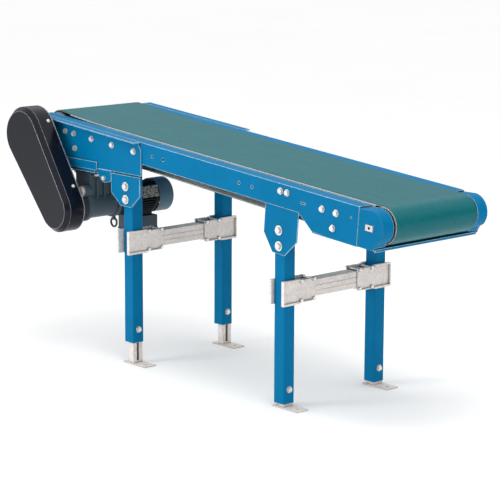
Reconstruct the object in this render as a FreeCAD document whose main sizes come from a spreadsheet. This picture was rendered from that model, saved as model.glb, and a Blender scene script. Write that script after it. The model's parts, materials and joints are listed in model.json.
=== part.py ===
import FreeCAD, Part
import math
import os
import re
import Sketcher
from FreeCAD import Placement, Rotation, Vector

# Belt conveyor section: an inclined slider bed conveyor on four adjustable legs, with a chain
# drive from a hung gearmotor.  Millimetres.  +X runs along the floor from the drive end to the
# tail end, +Z is up, and the origin is on the floor at the centre of the four anchor holes.
# Pieces on the bed are drawn in the bed's own frame: u along the bed, y across, w square to it,
# with w = 0 on the top of the side rails, and get the bed's placement.

os.makedirs("parts", exist_ok=True)
doc = FreeCAD.newDocument("belt_conveyor")

DIMS = {
    # bed frame
    "bed_incline": 4.7,
    "bed_height": 805.7,
    "half_width": 252.5,
    "rail_web": 2.5,
    "rail_depth": 80,
    "rail_flange": 50,
    "rail_lip": 18,
    "rail_head_end": -983,
    "rail_tail_end": 716,
    "rail_hole": 5.5,
    "bolt_row": -40,
    "tail_step": 440,
    "tail_web_start": 508,
    "tail_depth": 134,
    # slider bed and cross members
    "slider_top": 2,
    "slider_sheet": 2,
    "slider_half": 199,
    "slider_skirt": 24,
    "slider_start": -650,
    "slider_end": 735,
    "member_width": 40,
    "member_depth": 25,
    "member_top": -26,
    # belt and rollers
    "belt_width": 384,
    "belt_gauge": 3,
    "fabric_gauge": 1,
    "roller_w": -60,
    "roller_radius": 62,
    "roller_face": 392,
    "head_u": -944,
    "head_w": -51,
    "tail_u": 767,
    "shaft_radius": 12.5,
    "axle_radius": 10,
    "lagging_gauge": 4,
    "shell_gauge": 5,
    "run_gap": 0.05,
    "return_w": -112,
    "snub_face": 396,
    "snub_axle_radius": 7,
    "snub_radius": 25,
    "snub_u": -858,
    "touch_gap": 0.3,
    # head plates
    "head_plate": 4,
    "head_flange": 27,
    "head_plate_start": -985,
    "head_bottom_z": 714,
    "head_right_x": -384,
    # tail caps and take-up plates
    "cap_radius": 60,
    "cap_sheet": 2.2,
    "take_up": 5,
    # legs
    "leg_head_x": -472,
    "leg_tail_x": 336,
    "leg_y": 221,
    "tube": 50,
    "tube_wall": 3,
    "tube_round": 4,
    "tube_length": 678,
    "head_extension": 80,
    "tail_extension": 14,
    "bracket": 4,
    # feet
    "foot_sheet": 4,
    "foot_gap": 0.4,
    "foot_height": 235,
    "foot_depth": 26,
    "foot_width": 55,
    "foot_toe": 30,
    "foot_heel": 93,
    "anchor_offset": 68,
    "anchor_hole": 6,
    "slot_width": 11,
    "clamp_rise": 50,
    # cross bars
    "bar_head_z": 460,
    "bar_tail_z": 402,
    "bar_height": 58,
    "bar_half": 168,
    "bar_wall": 2.5,
    "shell_height": 78,
    "shell_sheet": 3,
    "shell_inner": 102,
    "shell_band": 182,
    "shell_head_near": 272,
    "shell_head_far": 258,
    "shell_tail_near": 260,
    "shell_tail_far": 262,
    "band_height": 86,
    "band_lip": 12,
    # drive
    "gear_teeth": 24,
    "drum_teeth": 36,
    "pitch": 12.7,
    "roller_pin": 4.2,
    "sprocket_y": -334,
    "sprocket_width": 7,
    "guard_back": -293,
    "guard_sheet": 3,
    "guard_front": -377,
    "guard_edge": -358,
    "guard_bevel": 16,
    "guard_top_radius": 107,
    "guard_low_radius": 87,
    "guard_top_u": -945,
    "guard_top_w": -68,
    "guard_low_u": -732,
    "guard_low_w": -310,
    # gearmotor
    "gear_radius": 56,
    "gear_start": -246,
    "gear_end": -92,
    "frame_end": 92,
    "frame_radius": 52,
    "fin_radius": 61,
    "cowl_end": 160,
    "cowl_radius": 66,
    "cowl_sheet": 2,
}

sheet = doc.addObject("Spreadsheet::Sheet", "dims")
for row, (alias, value) in enumerate(DIMS.items(), start=1):
    sheet.set(f"A{row}", alias)
    sheet.set(f"B{row}", str(value))
    sheet.setAlias(f"B{row}", alias)
doc.recompute()

NODES = []
WORD = re.compile(r"[A-Za-z_]\w*")
TURN = {
    "X": Rotation(Vector(0, 1, 0), 90),
    "Y": Rotation(Vector(1, 0, 0), -90),
    "Z": Rotation(),
    "-X": Rotation(Vector(0, 1, 0), -90),
    "-Y": Rotation(Vector(1, 0, 0), 90),
    "-Z": Rotation(Vector(1, 0, 0), 180),
}
PLANES = {
    "XY": (Rotation(), Vector(0, 0, 1)),
    "XZ": (Rotation(Vector(1, 0, 0), 90), Vector(0, 1, 0)),
    "YZ": (Rotation(Vector(1, 1, 1), 120), Vector(1, 0, 0)),
}


def size(alias):
    """The number that the sheet holds for an alias."""
    return float(sheet.get(alias))


def bind(item, prop, formula):
    """Bind a property to a formula of sheet aliases."""
    item.setExpression(prop, WORD.sub(
        lambda word: "dims." + word.group(0) if word.group(0) in DIMS else word.group(0), str(formula)))


def place(item, x, y, z, turn="Z"):
    item.Placement = Placement(Vector(), TURN[turn])
    for axis, formula in zip("xyz", (x, y, z)):
        bind(item, f".Placement.Base.{axis}", formula)
    return item


def block(x, y, z, size_x, size_y, size_z):
    """A box between (x, y, z) and that corner plus its sizes."""
    item = doc.addObject("Part::Box", "block")
    for prop, formula in zip(("Length", "Width", "Height"), (size_x, size_y, size_z)):
        bind(item, prop, formula)
    return place(item, x, y, z)


def rod(x, y, z, radius, length, axis="Y"):
    """A cylinder that starts at (x, y, z) and runs along an axis."""
    item = doc.addObject("Part::Cylinder", "rod")
    bind(item, "Radius", radius)
    bind(item, "Height", length)
    return place(item, x, y, z, axis)


def hexagon(x, y, z, radius, length, axis="Y"):
    """A six-sided prism, as a bolt's head or a nut."""
    item = doc.addObject("Part::Prism", "hexagon")
    item.Polygon = 6
    bind(item, "Circumradius", radius)
    bind(item, "Height", length)
    return place(item, x, y, z, axis)


def plate(plane, start, thickness, points, holes=()):
    """A sheet of a straight-sided outline, with round holes (a, b, radius), from start along the
    plane's normal.  XZ sheets grow towards +Y, YZ sheets towards +X, XY sheets towards +Z."""
    turn, normal = PLANES[plane]
    sketch = doc.addObject("Sketcher::SketchObject", "outline")
    sketch.Placement = Placement(Vector(), turn)
    count = len(points)
    rough = [Vector(evaluate(a), evaluate(b), 0) for a, b in points]
    for index in range(count):
        sketch.addGeometry(Part.LineSegment(rough[index], rough[(index + 1) % count]), False)
    for index in range(count):
        sketch.addConstraint(Sketcher.Constraint("Coincident", index, 2, (index + 1) % count, 1))
    for index, (a, b) in enumerate(points):
        for kind, formula in (("DistanceX", a), ("DistanceY", b)):
            number = sketch.addConstraint(
                Sketcher.Constraint(kind, -1, 1, index, 1, evaluate(formula)))
            bind(sketch, f"Constraints[{number}]", formula)
    for a, b, radius in holes:
        centre = Vector(evaluate(a), evaluate(b), 0)
        circle = sketch.addGeometry(Part.Circle(centre, Vector(0, 0, 1), evaluate(radius)), False)
        for kind, formula in (("DistanceX", a), ("DistanceY", b)):
            number = sketch.addConstraint(
                Sketcher.Constraint(kind, -1, 1, circle, 3, evaluate(formula)))
            bind(sketch, f"Constraints[{number}]", formula)
        number = sketch.addConstraint(Sketcher.Constraint("Radius", circle, evaluate(radius)))
        bind(sketch, f"Constraints[{number}]", radius)
    bind(sketch, ".Placement.Base." + "zyx"[("XY", "XZ", "YZ").index(plane)], start)
    item = doc.addObject("Part::Extrusion", "sheet")
    item.Base = sketch
    item.DirMode = "Custom"
    item.Dir = normal
    item.Solid = True
    bind(item, "LengthFwd", thickness)
    return item


def evaluate(formula):
    """The value of a formula of sheet aliases."""
    return float(sheet.evalExpression(str(WORD.sub(
        lambda word: "dims." + word.group(0) if word.group(0) in DIMS else word.group(0), str(formula)))))


def join(*items):
    """One solid of several that touch or overlap."""
    item = doc.addObject("Part::MultiFuse", "joined")
    item.Shapes = list(items)
    return item


def cut(base, *tools):
    """The base less the tools."""
    item = doc.addObject("Part::Cut", "cut")
    item.Base = base
    item.Tool = tools[0] if len(tools) == 1 else join(*tools)
    return item


def rounded(item, radius, edges=(1, 3, 5, 7)):
    """The item with its upright edges rounded."""
    doc.recompute()
    smooth = doc.addObject("Part::Fillet", "rounded")
    smooth.Base = item
    smooth.Edges = [(edge, evaluate(radius), evaluate(radius)) for edge in edges]
    return smooth


def fixed(shape):
    """A document object for a shape that Part's own functions made."""
    item = doc.addObject("Part::Feature", "shape")
    item.Shape = shape
    return item


def node(name, *items, tilted=False):
    """A named sub-part: one solid, or a group of separate ones.  Tilted ones lie on the bed."""
    item = doc.addObject("Part::Compound", name)
    item.Links = list(items)
    item.Label = name
    if tilted:
        item.Placement = Placement(Vector(), Rotation(Vector(0, 1, 0), 1))
        bind(item, ".Placement.Rotation.Angle", "bed_incline")
        bind(item, ".Placement.Base.z", "bed_height")
    NODES.append(item)
    return item


def bed(name, *items):
    return node(name, *items, tilted=True)


def outward(sign, inner, depth):
    """Where a sheet starts whose inner face is at |y| = inner, on the side given by sign."""
    return f"{inner}" if sign > 0 else f"-({inner}) - ({depth})"


def bolt(x, y, z, axis, radius, washer, inside, nut=0):
    """A hex bolt with its washer, seated at a point of a surface, with its head along axis.
    Its shank goes in by inside, and a nut sits nut deep where that isn't zero."""
    pieces = [
        rod(0, 0, 0, washer, 2, "Z"),
        hexagon(0, 0, 2, f"{radius} * 1.8", f"{radius} * 1.25", "Z"),
        rod(0, 0, f"-({inside})", radius, f"({inside}) + 1", "Z"),
    ]
    if nut:
        thickness = f"({radius}) * 1.5"
        pieces.append(hexagon(0, 0, f"-({nut}) - {thickness}", f"{radius} * 1.8", thickness, "Z"))
    return place(join(*pieces), x, y, z, axis)


def to_bed_u(x, z):
    return f"(({x}) * cos(bed_incline * 1deg) - (({z}) - bed_height) * sin(bed_incline * 1deg))"


def to_bed_w(x, z):
    return f"(({x}) * sin(bed_incline * 1deg) + (({z}) - bed_height) * cos(bed_incline * 1deg))"


def to_floor_x(u, w):
    return f"(({u}) * cos(bed_incline * 1deg) + ({w}) * sin(bed_incline * 1deg))"


def to_floor_z(u, w):
    return f"(bed_height - ({u}) * sin(bed_incline * 1deg) + ({w}) * cos(bed_incline * 1deg))"


SIDES = (("near", -1), ("far", 1))
ENDS = (("head", "leg_head_x"), ("tail", "leg_tail_x"))


# ---- geometry of wires that run round several circles --------------------------------------

def tangent(circle, following):
    """The straight run from one circle to the next.  A circle is (u, w, radius, hand): hand is
    +1 where the wire turns clockwise about it and -1 where it turns the other way."""
    u0, w0, r0, hand0 = circle
    u1, w1, r1, hand1 = following
    span = math.hypot(u1 - u0, w1 - w0)
    heading = math.atan2(w1 - w0, u1 - u0)
    lean = math.asin((hand0 * r0 - hand1 * r1) / span)
    normal = heading + math.pi / 2 - lean
    start = Vector(u0 + hand0 * r0 * math.cos(normal), 0, w0 + hand0 * r0 * math.sin(normal))
    end = Vector(u1 + hand1 * r1 * math.cos(normal), 0, w1 + hand1 * r1 * math.sin(normal))
    return start, end


def loop(circles):
    """The closed wire round the circles, taken in order."""
    runs = [tangent(circle, circles[(index + 1) % len(circles)]) for index, circle in enumerate(circles)]
    edges = []
    for index, (u, w, radius, hand) in enumerate(circles):
        arrive = runs[index - 1][1]
        leave = runs[index][0]
        first = math.atan2(arrive.z - w, arrive.x - u)
        last = math.atan2(leave.z - w, leave.x - u)
        turn = (first - last) % (2 * math.pi) if hand > 0 else (last - first) % (2 * math.pi)
        middle = first - hand * turn / 2
        through = Vector(u + radius * math.cos(middle), 0, w + radius * math.sin(middle))
        edges.append(Part.Arc(arrive, through, leave).toShape())
        edges.append(Part.LineSegment(leave, runs[index][1]).toShape())
    return Part.Wire(edges)


def band(circles, gauge, width):
    """A belt of a gauge and width whose middle runs round the circles."""
    outer = loop([(u, w, radius + hand * gauge / 2, hand) for u, w, radius, hand in circles])
    inner = loop([(u, w, radius - hand * gauge / 2, hand) for u, w, radius, hand in circles])
    face = Part.Face(outer).cut(Part.Face(inner))
    solid = face.Faces[0].extrude(Vector(0, width, 0))
    solid.translate(Vector(0, -width / 2, 0))
    return solid


def slab(wire, start, depth):
    """A solid of an outline in the u-w plane, from y = start to start + depth."""
    face = Part.Face(wire)
    face.translate(Vector(0, start, 0))
    return face.extrude(Vector(0, depth, 0))


def toothed(teeth, pitch_radius, tooth_height, root_depth, start, depth, phase):
    """A wheel with straight-flanked teeth, about the Y axis.  A gap's middle lies at phase."""
    step = 2 * math.pi / teeth
    flanks = ((-0.24, -root_depth), (-0.10, tooth_height), (0.10, tooth_height), (0.24, -root_depth))
    points = []
    for tooth in range(teeth):
        middle = phase + step * (tooth + 0.5)
        for share, height in flanks:
            angle = middle + share * step
            reach = pitch_radius + height
            points.append(Vector(reach * math.cos(angle), 0, reach * math.sin(angle)))
    points.append(points[0])
    return slab(Part.makePolygon(points), start, depth)


# ---- side rails, slider bed and cross members ----------------------------------------------

SPARE_HOLES = (-323, -262, 142, 208)
HEAD_BOLTS = (-827, -775, -668, -547, -422)
BRACKET_BOLTS = (349, 381)
BRACKET_ROW = -25
TAIL_BOLTS = ((549, -44), (614, -44), (603, -97))
BRACKET_NOTCHES = ((274, 167), (-548, 160))
BEARING_BOLT = 37
RAIL_PIN = 5
MEMBERS = (-600, -150, 250, 480)

for side, sign in SIDES:
    holes = [(u, "bolt_row", "rail_hole") for u in SPARE_HOLES + HEAD_BOLTS]
    holes += [(u, BRACKET_ROW, "rail_hole") for u in BRACKET_BOLTS]
    holes += [(u, w, "rail_hole") for u, w in TAIL_BOLTS] + [(682, -43, 3)]
    holes += [("head_u", "head_w", "shaft_radius + 4"), ("head_u", f"head_w + {BEARING_BOLT}", "rail_hole")]
    web = plate("XZ", outward(sign, "half_width - rail_web", "rail_web"), "rail_web", [
        ("rail_head_end", 0), ("rail_tail_end", 0), ("rail_tail_end", "-tail_depth"),
        ("tail_web_start", "-tail_depth + 4"), ("tail_step", "-rail_depth"),
        ("rail_head_end", "-rail_depth")], holes)
    flange = block(
        "rail_head_end", outward(sign, "half_width - rail_flange", "rail_flange"), "-rail_web",
        "rail_tail_end - rail_head_end", "rail_flange", "rail_web")
    lip = block(
        "rail_head_end", outward(sign, "half_width - rail_lip", "rail_lip"), "-rail_depth",
        "tail_step - rail_head_end", "rail_lip", "rail_web")
    foot_lip = block(
        "tail_web_start", outward(sign, "half_width - rail_lip", "rail_lip"), "-tail_depth",
        "rail_tail_end - tail_web_start", "rail_lip", "rail_web")
    notch_y = outward(sign, "half_width - rail_web - bracket - 0.2", "bracket + 0.2")
    notches = [block(start, notch_y, "-rail_depth - 1", length, "bracket + 0.2", "rail_web + 2")
               for start, length in BRACKET_NOTCHES]
    slot = block(448, outward(sign, "half_width - rail_web - 1", 5), -47, 22, 5, 5)
    bed(f"side_rail_{side}", cut(join(web, flange, lip, foot_lip), slot, *notches))

NOSE_START = "head_u + 64"
nose = plate("XZ", "-slider_half", "slider_half * 2", [
    ("slider_start", "slider_top - 0.3"), (-707, 2.1), (-764, 3.5), (NOSE_START, 8), (NOSE_START, 5.8),
    (-764, 1.4), ("slider_start", "slider_top - slider_sheet")])
bed("slider_bed", join(
    nose,
    block("slider_start", "-slider_half", "slider_top - slider_sheet",
          "slider_end - slider_start", "slider_half * 2", "slider_sheet"),
    *[block("slider_start", outward(sign, "slider_half - slider_sheet", "slider_sheet"),
            "slider_top - slider_skirt", "slider_end - slider_start", "slider_sheet", "slider_skirt")
      for side, sign in SIDES]))

bed("cross_members", *[
    cut(block(f"{u} - member_width / 2", "rail_web - half_width", "member_top - member_depth",
              "member_width", "(half_width - rail_web) * 2", "member_depth"),
        block(f"{u} - member_width / 2 + 2", "rail_web - half_width - 1", "member_top - member_depth + 2",
              "member_width - 4", "(half_width - rail_web) * 2 + 2", "member_depth - 4"))
    for u in MEMBERS])


# ---- belt ----------------------------------------------------------------------------------

half_gauge = size("belt_gauge") / 2
snub_w = size("return_w") - half_gauge - size("touch_gap") - size("snub_radius")
BEND_RADIUS = 3000
belt_path = [
    (size("head_u"), size("head_w"), size("roller_radius") + half_gauge, 1),
    (size("slider_start"), size("slider_top") + half_gauge + BEND_RADIUS, BEND_RADIUS, -1),
    (size("tail_u"), size("roller_w"), size("roller_radius") + half_gauge, 1),
    (size("snub_u"), snub_w, size("snub_radius") + size("touch_gap") + half_gauge, -1),
]
fabric = size("fabric_gauge")
cover = size("belt_gauge") - fabric
PLIES = (("belt_cover", cover, fabric / 2), ("belt_fabric", fabric, fabric / 2 - half_gauge))
for name, gauge, offset in PLIES:
    path = [(u, w, radius + hand * offset, hand) for u, w, radius, hand in belt_path]
    bed(name, fixed(band(path, gauge, size("belt_width"))))


# ---- rollers -------------------------------------------------------------------------------

def roller(u, w, radius, face, bore, gauge, disc=12):
    """A tube with a disc in each end, bored for its axle or its bearings."""
    tube = cut(rod(u, f"-({face}) / 2", w, radius, face),
               rod(u, f"-({face}) / 2 + {disc}", w, f"({radius}) - ({gauge})", f"({face}) - 2 * {disc}"),
               rod(u, f"-({face}) / 2 - 1", w, bore, f"({face}) + 2"))
    return tube


def ring(u, y, w, outer, inner, width):
    return cut(rod(u, y, w, outer, width), rod(u, f"({y}) - 1", w, inner, f"({width}) + 2"))


DRUM = ("head_u", "head_w")
TAIL = ("tail_u", "roller_w")
BEARING_WIDTH = 12
TAIL_BEARING = 21
SNUB_BEARING = 13

BELT_FACE = "roller_radius - touch_gap"
DRUM_RADIUS = f"{BELT_FACE} - lagging_gauge"
bed("drum_shell", roller(*DRUM, DRUM_RADIUS, "roller_face", "shaft_radius", "shell_gauge"))
bed("drum_lagging", ring("head_u", "-roller_face / 2", "head_w", BELT_FACE, DRUM_RADIUS, "roller_face"))
bed("tail_roller", roller(*TAIL, BELT_FACE, "roller_face", f"{TAIL_BEARING} + run_gap", "shell_gauge"))
bearings = [
    ring("tail_u", y, "roller_w", TAIL_BEARING, "axle_radius", BEARING_WIDTH)
    for y in ("-roller_face / 2", f"roller_face / 2 - {BEARING_WIDTH}")]
bed("snub_roller", roller("snub_u", snub_w, "snub_radius", "snub_face", f"{SNUB_BEARING} + run_gap", 3))
bearings += [
    ring("snub_u", y, snub_w, SNUB_BEARING, "snub_axle_radius", BEARING_WIDTH)
    for y in ("-snub_face / 2", f"snub_face / 2 - {BEARING_WIDTH}")]
bed("roller_bearings", *bearings)
bed("snub_axle", rod("snub_u", "-half_width", snub_w, "snub_axle_radius", "half_width * 2"))

SHAFT_START = "sprocket_y - 14"
SHAFT_END = 296
bed("drive_shaft", rod("head_u", SHAFT_START, "head_w", "shaft_radius", f"{SHAFT_END} - ({SHAFT_START})"))

AXLE_WIDE, AXLE_TALL = 33, 20
bed("tail_axle", cut(
    join(rod("tail_u", "-half_width", "roller_w", "axle_radius", "half_width * 2"),
         *[block(f"tail_u - {AXLE_WIDE} / 2", outward(sign, "half_width - 2.5", 6),
                 f"roller_w - {AXLE_TALL} / 2", AXLE_WIDE, 6, AXLE_TALL) for side, sign in SIDES]),
    rod("tail_u", "-half_width - 5", "roller_w", 5, 20),
    rod("tail_u", "half_width - 15", "roller_w", 5, 20)))


# ---- head plates and their bearings --------------------------------------------------------

FLANGE_END = -392
BEARING_HALF = 46
BEARING_SIDE = 29
INSERT_RADIUS = 24
HOUSING_BASE = 12
LOW_BOLT = (-765, -94)
HOUSING_DEPTH = 28
FRAME_BOLT = "rail_hole"
housings = []

for side, sign in SIDES:
    start = outward(sign, "half_width", "head_plate")
    outline = [
        ("head_plate_start", 0), (f"{FLANGE_END} - 14", 0), (f"{FLANGE_END} + 10", -30),
        *[(to_bed_u(x, "head_bottom_z"), to_bed_w(x, "head_bottom_z"))
          for x in ("head_right_x", "head_plate_start + 24")],
        ("head_plate_start", -150)]
    holes = [(u, "bolt_row", FRAME_BOLT) for u in HEAD_BOLTS]
    holes += [("head_u", "head_w", "shaft_radius + 4")]
    holes += [("head_u", f"head_w + ({k})", FRAME_BOLT) for k in (-BEARING_BOLT, BEARING_BOLT)]
    holes += [(*LOW_BOLT, FRAME_BOLT)]
    web = plate("XZ", start, "head_plate", outline, holes)
    flange = block("head_plate_start", outward(sign, "half_width", "head_plate + head_flange"), "-head_plate",
                   f"{FLANGE_END} - head_plate_start", "head_plate + head_flange", "head_plate")
    bed(f"head_plate_{side}", join(web, flange))

    seat = "half_width + head_plate"
    base = rounded(block(
        f"head_u - {BEARING_SIDE}", outward(sign, seat, HOUSING_BASE), f"head_w - {BEARING_HALF}",
        BEARING_SIDE * 2, HOUSING_BASE, BEARING_HALF * 2), 10, (2, 4, 6, 8))
    boss = rod("head_u", outward(sign, seat, HOUSING_DEPTH), "head_w", INSERT_RADIUS + 4, HOUSING_DEPTH)
    bores = [rod("head_u", outward(sign, f"{seat} - 1", HOUSING_DEPTH + 2), "head_w",
                 INSERT_RADIUS, HOUSING_DEPTH + 2)]
    bores += [rod("head_u", outward(sign, f"{seat} - 1", HOUSING_BASE + 2), f"head_w + ({k})",
                  FRAME_BOLT, HOUSING_BASE + 2) for k in (-BEARING_BOLT, BEARING_BOLT)]
    housings.append(cut(join(base, boss), *bores))
bed("bearing_housings", *housings)

bed("bearing_inserts", *[
    ring("head_u", outward(sign, "half_width + head_plate + 2", HOUSING_DEPTH - 4), "head_w",
         INSERT_RADIUS, "shaft_radius + run_gap", HOUSING_DEPTH - 4) for side, sign in SIDES])

OUT = {"near": "-Y", "far": "Y"}
bed("bearing_bolts", *[
    bolt("head_u", f"{sign} * (half_width + head_plate + {HOUSING_BASE})", f"head_w + ({k})",
         OUT[side], 4.6, 7.5, HOUSING_BASE + 12)
    for side, sign in SIDES for k in (-BEARING_BOLT, BEARING_BOLT)])

rail_bolts = [
    bolt(u, f"{sign} * (half_width + head_plate)", "bolt_row", OUT[side], RAIL_PIN, 12, 16)
    for side, sign in SIDES for u in HEAD_BOLTS]
rail_bolts += [
    bolt(LOW_BOLT[0], f"{sign} * (half_width + head_plate)", LOW_BOLT[1], OUT[side], RAIL_PIN, 12, 16)
    for side, sign in SIDES]


# ---- tail: take-up plates, end caps, under guard -------------------------------------------

take_ups, caps = [], []
for side, sign in SIDES:
    take_up_face = "half_width - rail_web - take_up"
    take_ups.append(plate("XZ", outward(sign, take_up_face, "take_up"), "take_up", [
        (530, -14), ("tail_u + 30", -14), ("tail_u + 50", -60), ("tail_u + 36", -100), ("tail_u + 8", -116),
        (530, -116)],
        [("tail_u", "roller_w", "axle_radius")] + [(u, w, "rail_hole") for u, w in TAIL_BOLTS]))

    cap_start, cap_top = size("rail_tail_end") + 0.5, -5
    centre_u, centre_w, radius = size("tail_u"), size("roller_w"), size("cap_radius")
    toe_u, toe_w = centre_u + 24, -size("tail_depth") + 2
    below = math.radians(-40)
    join_point = Vector(centre_u + radius * math.cos(below), 0, centre_w + radius * math.sin(below))
    crown, nose_point = Vector(centre_u, 0, centre_w + radius), Vector(centre_u + radius, 0, centre_w)
    outline = Part.Wire([
        Part.LineSegment(Vector(cap_start, 0, cap_top), crown).toShape(),
        Part.Arc(crown, nose_point, join_point).toShape(),
        Part.Arc(join_point, Vector(centre_u + 31, 0, centre_w - 51), Vector(toe_u, 0, toe_w)).toShape(),
        Part.LineSegment(Vector(toe_u, 0, toe_w), Vector(cap_start, 0, toe_w)).toShape(),
        Part.LineSegment(Vector(cap_start, 0, toe_w), Vector(cap_start, 0, cap_top)).toShape()])
    cap_out, cap_in = size("half_width"), size("half_width") - size("rail_flange")
    whole = slab(outline, cap_in, cap_out - cap_in)
    whole = whole.makeFillet(2, [edge for edge in whole.Edges if edge.BoundBox.YMin > cap_out - 0.01])
    inner_outline = outline.makeOffset2D(-size("cap_sheet"))
    hollow = slab(inner_outline, cap_in - 1, cap_out - cap_in - size("cap_sheet") + 1)
    depth = cap_out - cap_in - size("cap_sheet") + 1
    open_back = Part.makeBox(20, depth, 300, Vector(cap_start - 17, cap_in - 1, cap_top - 303))
    open_foot = Part.makeBox(120, depth, 40, Vector(cap_start - 1, cap_in - 1, toe_w - 30))
    hole = Part.makeBox(AXLE_WIDE + 0.6, 60, AXLE_TALL + 0.6, Vector(
        centre_u - AXLE_WIDE / 2 - 0.3, cap_in - 5, centre_w - AXLE_TALL / 2 - 0.3))
    cap = whole.cut(hollow).cut(open_back).cut(open_foot).cut(hole)
    if sign < 0:
        cap = cap.mirror(Vector(0, 0, 0), Vector(0, 1, 0))
    caps.append(fixed(cap))

bed("take_up_plates", *take_ups)
bed("tail_caps", *caps)

GUARD_Y = "half_width - rail_web - take_up - 0.5"
bed("tail_guard", join(
    block(690, f"-({GUARD_Y})", "rail_web - tail_depth", 101, f"({GUARD_Y}) * 2", 2),
    block(789, f"-({GUARD_Y})", "-tail_depth - 3", 2, f"({GUARD_Y}) * 2", 9)))

rail_bolts += [
    bolt(u, f"{sign} * half_width", w, OUT[side], RAIL_PIN, 12, 16)
    for side, sign in SIDES for u, w in TAIL_BOLTS]


# ---- legs, brackets and feet ---------------------------------------------------------------

LEG_BOLT = 6
LEG_HOLE = "6.5"
HEAD_LEG_BOLTS = (666, 618)
TAIL_LEG_W = (-161, -215)
BRACKET_FACE = "half_width - rail_web - bracket"
extension = {"head": "head_extension", "tail": "tail_extension"}
TAIL_LEG_TOP = "bed_height - leg_tail_x * tan(bed_incline * 1deg)"
leg_bolt_z = {"head": [str(z) for z in HEAD_LEG_BOLTS],
              "tail": [f"({TAIL_LEG_TOP} + ({w}) / cos(bed_incline * 1deg))" for w in TAIL_LEG_W]}
SLOT_BOLT = 5

head_brackets, tail_brackets = [], []
for side, sign in SIDES:
    # Head brackets stand upright: an outer plate under the head plate and a tongue behind the rail.
    leg_holes = [("leg_head_x", z, LEG_HOLE) for z in HEAD_LEG_BOLTS]
    tongue = plate("XZ", outward(sign, BRACKET_FACE, "bracket"), "bracket", [
        ("leg_head_x - 72", 700), ("leg_head_x - 60", 790), ("leg_head_x + 50", 784),
        ("leg_head_x + 72", 700), ("leg_head_x + 72", 637), ("leg_head_x + 29", 592),
        ("leg_head_x - 29", 592), ("leg_head_x - 72", 635)], leg_holes)
    cover_depth = "rail_web + head_plate"
    cover = plate("XZ", outward(sign, "half_width - rail_web", cover_depth), cover_depth, [
        ("leg_head_x - 84", 707), ("leg_head_x + 80", 707), ("leg_head_x + 80", 637),
        ("leg_head_x + 29", 592), ("leg_head_x - 29", 592), ("leg_head_x - 84", 635)], leg_holes)
    head_brackets.append(join(tongue, cover))

    centre = [f"((leg_tail_x - ({w}) * sin(bed_incline * 1deg)) / cos(bed_incline * 1deg))"
              for w in TAIL_LEG_W]
    tail_brackets.append(plate("XZ", outward(sign, BRACKET_FACE, "bracket"), "bracket", [
        (277, -4), (438, -4), (438, -184), (f"{centre[1]} + 30", -242), (f"{centre[1]} - 30", -242),
        (277, -181)],
        [(centre[0], TAIL_LEG_W[0], LEG_HOLE), (centre[1], TAIL_LEG_W[1], LEG_HOLE)]
        + [(u, BRACKET_ROW, "rail_hole") for u in BRACKET_BOLTS]))
node("leg_brackets_head", *head_brackets)
bed("leg_brackets_tail", *tail_brackets)

tubes = []
for end, leg_x in ENDS:
    for side, sign in SIDES:
        low = extension[end]
        leg_y = f"{sign} * leg_y"
        outer = rounded(block(f"{leg_x} - tube / 2", f"{leg_y} - tube / 2", low,
                              "tube", "tube", "tube_length"), "tube_round")
        inner = block(f"{leg_x} - tube / 2 + tube_wall", f"{leg_y} - tube / 2 + tube_wall", f"{low} - 1",
                      "tube - tube_wall * 2", "tube - tube_wall * 2", "tube_length + 2")
        wall_y = outward(sign, "leg_y + tube / 2 - tube_wall - 1", "tube_wall + 2")
        wall_holes = [rod(leg_x, wall_y, z, LEG_HOLE, "tube_wall + 2") for z in leg_bolt_z[end]]
        wall_holes.append(rod(f"{leg_x} + tube / 2 - tube_wall - 1", leg_y, f"{low} + clamp_rise",
                              "rail_hole", "tube_wall + 2", "X"))
        tubes.append(cut(outer, inner, *wall_holes))

        half = "(tube / 2 - tube_wall - foot_gap)"
        face = f"{leg_x} + {half}"
        upright = join(
            block(f"{face} - foot_sheet", f"{leg_y} - {half}", 0, "foot_sheet", f"{half} * 2", "foot_height"),
            block(f"{face} - foot_depth", f"{leg_y} - {half}", 0, 2, f"{half} * 2", "foot_height"),
            *[block(f"{face} - foot_depth", f"{leg_y} {offset}", 0, "foot_depth", "foot_sheet", "foot_height")
              for offset in (f"- {half}", f"+ {half} - foot_sheet")])
        base = block(f"{leg_x} - foot_toe", f"{leg_y} - foot_width / 2", 0,
                     "foot_toe + foot_heel", "foot_width", "foot_sheet")
        slot_low, slot_high = 12, "foot_height - 20"
        slot = block(f"{face} - foot_sheet - 1", f"{leg_y} - slot_width / 2", slot_low,
                     "foot_sheet + 2", "slot_width", f"{slot_high} - {slot_low}")
        anchor = rod(f"{leg_x} + anchor_offset", leg_y, -1, "anchor_hole", "foot_sheet + 2", "Z")
        node(f"foot_{end}_{side}", cut(join(upright, base), slot, anchor))

node("leg_tubes", *tubes)
node("foot_clamp_bolts", *[
    bolt(f"{leg_x} + tube / 2", f"{sign} * leg_y", f"{extension[end]} + clamp_rise", "X", SLOT_BOLT, 12, 16)
    for end, leg_x in ENDS for side, sign in SIDES])
node("leg_bolts", *[
    bolt(leg_x, f"{sign} * (half_width {'+ head_plate' if end == 'head' else '- rail_web'})", z, OUT[side],
         LEG_BOLT, 17, 22 if end == "head" else 16)
    for end, leg_x in ENDS for side, sign in SIDES for z in leg_bolt_z[end]])
rail_bolts += [
    bolt(u, f"{sign} * half_width", BRACKET_ROW, OUT[side], RAIL_PIN, 12, 14)
    for side, sign in SIDES for u in BRACKET_BOLTS]
bed("rail_bolts", *rail_bolts)


# ---- cross bars ----------------------------------------------------------------------------

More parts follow.
